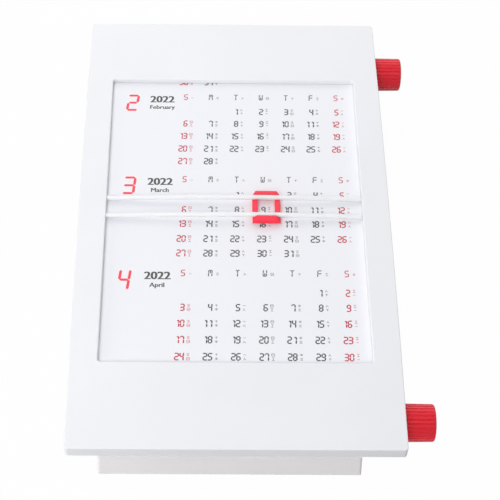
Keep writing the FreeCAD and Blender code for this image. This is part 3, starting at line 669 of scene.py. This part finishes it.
# Ink in metres: its thickness, how far its middle lies over the paper, the step up from a word's copy
# to the next, and how near two corners have to be to count as one
INK_THICKNESS = 0.02 * MM
INK_LIFT = 0.005 * MM
COPY_LIFT = 0.001 * MM
WELD_DISTANCE = 1e-7
INKS = {
    "dark": ("dark_grey_ink", (0.05, 0.048, 0.05)),
    "red": ("red_ink", (0.88, 0.045, 0.085)),
    "crimson": ("crimson_ink", (0.5, 0.025, 0.05)),
    "pale": ("pale_grey_ink", (0.24, 0.235, 0.235)),
    "pink": ("pale_red_ink", (0.6, 0.17, 0.21)),
}


def sheet_place(across, back):
    """Row-frame X and Y of a place on the sheet."""
    return WINDOW_MIDDLE_X + across, PLATE_FRONT_Y + back


def column_inks(column):
    """The inks of a column's figures and of its small marks: reds on the rest days."""
    return ("crimson", "pink") if column in REST_COLUMNS else ("dark", "pale")


def add_initial(strokes, column, back):
    """A weekday's initial with its mark."""
    x, y = sheet_place(FIRST_COLUMN + column * COLUMN_PITCH, back)
    ink, tone = column_inks(column)
    aside, up = INITIAL_MARK
    strokes[ink] += figure_strokes(WEEKDAYS[column], x, y, INITIAL_TYPE)
    strokes[tone] += mark_strokes(column + 1, x + aside, y + up)


def add_day(strokes, text, column, back, seed):
    """A day with its two marks, chosen by the seed."""
    x, y = sheet_place(FIRST_COLUMN + column * COLUMN_PITCH, back)
    ink, tone = column_inks(column)
    strokes[ink] += figure_strokes(text, x, y, DAY_TYPE)
    for step, (aside, up) in enumerate(DAY_MARKS):
        strokes[tone] += mark_strokes(seed * 3 + step * 2, x + aside, y + up)


def sheet_strokes():
    """All strokes of the sheet by ink."""
    strokes = {ink: [] for ink in INKS}
    for month in MONTHS:
        x, y = sheet_place(month.aside, month.header - MONTH_DROP)
        strokes["red"] += figure_strokes(month.number, x, y, MONTH_TYPE, month.lean)
        for column in range(len(WEEKDAYS)):
            add_initial(strokes, column, month.header)
        for day in range(1, month.days + 1):
            row, column = divmod(month.first + day - 1, len(WEEKDAYS))
            add_day(strokes, str(day), column, month.rows[row], day)
    back, texts = LAST_ROW_BEFORE
    for column, text in enumerate(texts):
        add_day(strokes, text, column, back, column)
    return strokes


def print_figures(inks, height):
    """Every figure, initial and small mark of the sheet, one piece for each ink."""
    tree = stroke_tree()
    bar = bar_shape()
    for ink, strokes in sheet_strokes().items():
        source = bpy.data.meshes.new(ink + "_stroke_middles")
        middles = [((a + b) / 2 * MM) + Vector((0, 0, height)) for a, b, weight in strokes]
        source.from_pydata(middles, [], [])
        source.attributes.new("reach", "FLOAT_VECTOR", "POINT")
        source.attributes.new("middle", "FLOAT_VECTOR", "POINT")
        source.attributes.new("breadth", "FLOAT", "POINT")
        for index, (a, b, weight) in enumerate(strokes):
            source.attributes["reach"].data[index].vector = (b - a) / 2 * MM
            source.attributes["middle"].data[index].vector = middles[index]
            source.attributes["breadth"].data[index].value = weight / 2 * MM
        values = {"Bar": bar, "Ink Thickness": INK_THICKNESS, "Ink": inks[ink]}
        mesh = run_tree(tree, source, values)
        for name in ("corner", "reach", "middle", "breadth"):
            if name in mesh.attributes:
                mesh.attributes.remove(mesh.attributes[name])
        finished("printed_" + ink + "_figures", mesh, "base", inks[ink])


def word_mesh(text, size, x, y, height):
    """A printed word as a thin closed slab of ink, centred on (x, y)."""
    curve = bpy.data.curves.new("word", "FONT")
    curve.body = text
    curve.size = size * MM
    curve.extrude = INK_THICKNESS / 2
    curve.resolution_u = STEPS_PER_CURVE
    curve.align_x = "CENTER"
    curve.align_y = "CENTER"
    holder = placed("word", curve)
    bpy.context.view_layer.update()
    mesh = bpy.data.meshes.new_from_object(holder)
    bpy.data.objects.remove(holder)
    mesh.transform(Matrix.Translation(Vector((x * MM, y * MM, height))))
    return mesh


def joined(meshes, name):
    """Several meshes in one, with doubles merged."""
    shape = bmesh.new()
    for mesh in meshes:
        shape.from_mesh(mesh)
    bmesh.ops.remove_doubles(shape, verts=shape.verts, dist=WELD_DISTANCE)
    result = bpy.data.meshes.new(name)
    shape.to_mesh(result)
    shape.free()
    return result


def print_words(ink, height):
    """The year and the month's name in upright type, made bold by copies side by side."""
    meshes = []
    for month in MONTHS:
        for text, (size, weight, drop) in ((YEAR, YEAR_TYPE), (month.word, NAME_TYPE)):
            x, y = sheet_place(WORD_COLUMN, month.header - drop)
            for step, side in enumerate(WORD_COPIES):
                meshes.append(word_mesh(text, size, x + side * weight, y, height + step * COPY_LIFT))
    finished("printed_words", joined(meshes, "printed_words"), "base", ink)


# Screws and feet

# In millimetres, with profiles as (radius, height) pairs. A turn is how far each copy is turned on from
# the one before, in radians.
HEAD_HEIGHT = 1.3
HEAD_RADIUS = 2.0
SCREW_HEAD = [(0.0, -1.3), (1.2, -1.3), (1.55, -1.2), (1.82, -0.95), (1.95, -0.6), (2.0, -0.2),
              (2.0, 0.0)]
THREAD_ROOT = 0.85
THREAD_CREST = 0.98
THREAD_PITCH = 0.4
THREAD_RIDGE = [(THREAD_ROOT, 0.0), (THREAD_CREST, 0.1), (THREAD_CREST, 0.16), (THREAD_ROOT, 0.26)]
PLAIN_END = 0.3
POINT_RADIUS = 0.6
CROSS_ARM = (2.3, 0.42, 1.5)
CROSS_MIDDLE = -1.35
SCREW_SIDES = 24
SCREW_TURN = 0.7
FOOT_RADIUS = 4.0
FOOT_UNDERSIDE = [(0.0, 0.12), (1.2, 0.1), (1.6, 0.0), (2.4, 0.0), (2.5, 0.12), (2.8, 0.12), (2.9, 0.0),
                  (3.55, 0.0), (3.82, 0.1), (3.96, 0.3), (4.0, 0.5)]
FOOT_SIDES = 40
FOOT_TURN = 0.4


def copy_tree():
    """Node tree that sets a small part on every point and gives it its finish."""
    tree, start, end = start_tree("small_parts", (
        ("Part", "NodeSocketObject"),
        ("Turn Step", "NodeSocketFloat"),
        ("Finish", "NodeSocketMaterial"),
    ))
    part = tree.nodes.new("GeometryNodeObjectInfo")
    spots = tree.nodes.new("GeometryNodeMeshToPoints")
    stamp = tree.nodes.new("GeometryNodeInstanceOnPoints")
    index = tree.nodes.new("GeometryNodeInputIndex")
    turn = tree.nodes.new("ShaderNodeCombineXYZ")
    real = tree.nodes.new("GeometryNodeRealizeInstances")
    finish = tree.nodes.new("GeometryNodeSetMaterial")
    angle = plain_math(tree, "MULTIPLY", index.outputs[0], start.outputs["Turn Step"])
    link_nodes(tree, [
        (start.outputs["Part"], part.inputs["Object"]),
        (start.outputs["Geometry"], spots.inputs["Mesh"]),
        (spots.outputs["Points"], stamp.inputs["Points"]),
        (part.outputs["Geometry"], stamp.inputs["Instance"]),
        (angle, turn.inputs["Z"]),
        (turn.outputs[0], stamp.inputs["Rotation"]),
        (stamp.outputs["Instances"], real.inputs["Geometry"]),
        (real.outputs["Geometry"], finish.inputs["Geometry"]),
        (start.outputs["Finish"], finish.inputs["Material"]),
        (finish.outputs["Geometry"], end.inputs[0]),
    ])
    return tree


def turned(profile, sides, name):
    """Closed solid turned about the upright from a profile whose ends both lie on the axis."""
    shape = bmesh.new()
    rings = []
    for radius, height in profile:
        if radius == 0:
            rings.append([shape.verts.new((0, 0, height * MM))])
            continue
        ring = []
        for index in range(sides):
            angle = 2 * math.pi * index / sides
            across = radius * MM * math.cos(angle)
            back = radius * MM * math.sin(angle)
            ring.append(shape.verts.new((across, back, height * MM)))
        rings.append(ring)
    for low, high in zip(rings, rings[1:]):
        for index in range(sides):
            after = (index + 1) % sides
            if len(low) == 1:
                shape.faces.new((low[0], high[after], high[index]))
            elif len(high) == 1:
                shape.faces.new((low[index], low[after], high[0]))
            else:
                shape.faces.new((low[index], low[after], high[after], high[index]))
    bmesh.ops.recalc_face_normals(shape, faces=shape.faces)
    mesh = bpy.data.meshes.new(name)
    shape.to_mesh(mesh)
    shape.free()
    for face in mesh.polygons:
        face.use_smooth = True
    return mesh


def cross_cutter():
    """Two crossed bars that cut the recess into the screw's head."""
    shape = bmesh.new()
    for turn in (0, 90):
        arm = bmesh.ops.create_cube(shape, size=1.0)["verts"]
        bmesh.ops.scale(shape, vec=Vector(CROSS_ARM) * MM, verts=arm)
        bmesh.ops.translate(shape, vec=Vector((0, 0, CROSS_MIDDLE)) * MM, verts=arm)
        bmesh.ops.rotate(shape, verts=arm, matrix=Matrix.Rotation(math.radians(turn), 3, "Z"))
    mesh = bpy.data.meshes.new("cross_cutter")
    shape.to_mesh(mesh)
    shape.free()
    return placed("cross_cutter", mesh)


def cross_screw(length):
    """Pan-head screw, head down, seat at zero, with a cross recess in the head and a fine thread."""
    thread = [(THREAD_CREST, 0.0)]
    height = PLAIN_END
    while height < length - 2 * PLAIN_END:
        thread += [(radius, height + rise) for radius, rise in THREAD_RIDGE]
        height += THREAD_PITCH
    tip = [(THREAD_ROOT, length - PLAIN_END), (POINT_RADIUS, length), (0.0, length)]
    screw = placed("cross_screw", turned(SCREW_HEAD + thread + tip, SCREW_SIDES, "cross_screw"))
    cutter = cross_cutter()
    cut = screw.modifiers.new("cross", "BOOLEAN")
    cut.operation = "DIFFERENCE"
    cut.solver = "EXACT"
    cut.use_self = True
    cut.object = cutter
    done = plain_mesh(screw)
    bpy.data.objects.remove(cutter)
    return part_object(done)


def rubber_foot(height):
    """Rubber disc with a rounded edge, a shallow ring groove and a slight hollow in the middle."""
    profile = FOOT_UNDERSIDE + [(FOOT_RADIUS, height), (0.0, height)]
    return part_object(turned(profile, FOOT_SIDES, "rubber_foot"))


def corner_points(name, radius, z):
    """The four corner places of a CAD node's round parts, inside its box by their radius."""
    low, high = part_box(name)
    reach = radius * MM
    return [(x, y, z) for x in (low.x + reach, high.x - reach) for y in (low.y + reach, high.y - reach)]


def set_small_parts(steel, rubber):
    """Screws and feet, each a turned shape repeated at the CAD part's own places."""
    tree = copy_tree()
    for name in ("frame_screws", "casing_screws"):
        low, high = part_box(name)
        seat = low.z + HEAD_HEIGHT * MM
        screw = cross_screw((high.z - seat) / MM)
        source = bpy.data.meshes.new(name + "_places")
        source.from_pydata(corner_points(name, HEAD_RADIUS, seat), [], [])
        mesh = run_tree(tree, source, {"Part": screw, "Turn Step": SCREW_TURN, "Finish": steel})
        piece = finished("cross_" + name, mesh, "base", steel)
        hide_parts(name)
    foot = rubber_foot(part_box("feet")[1].z / MM)
    source = bpy.data.meshes.new("feet_places")
    source.from_pydata(corner_points("feet", FOOT_RADIUS, 0.0), [], [])
    mesh = run_tree(tree, source, {"Part": foot, "Turn Step": FOOT_TURN, "Finish": rubber})
    piece = finished("rubber_feet", mesh, "base", rubber)
    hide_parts("feet")


bpy.context.scene.view_settings.view_transform = "Standard"
set_camera()
set_world()
set_floor()
for lamp in LAMPS:
    soft_lamp(*lamp)
steel_finish, rubber_finish = dress_nodes()
ink_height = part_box("calendar_strip")[1].z + INK_LIFT
ink_finishes = {ink: printing_ink(*look) for ink, look in INKS.items()}
print_figures(ink_finishes, ink_height)
print_words(ink_finishes["dark"], ink_height)
set_small_parts(steel_finish, rubber_finish)
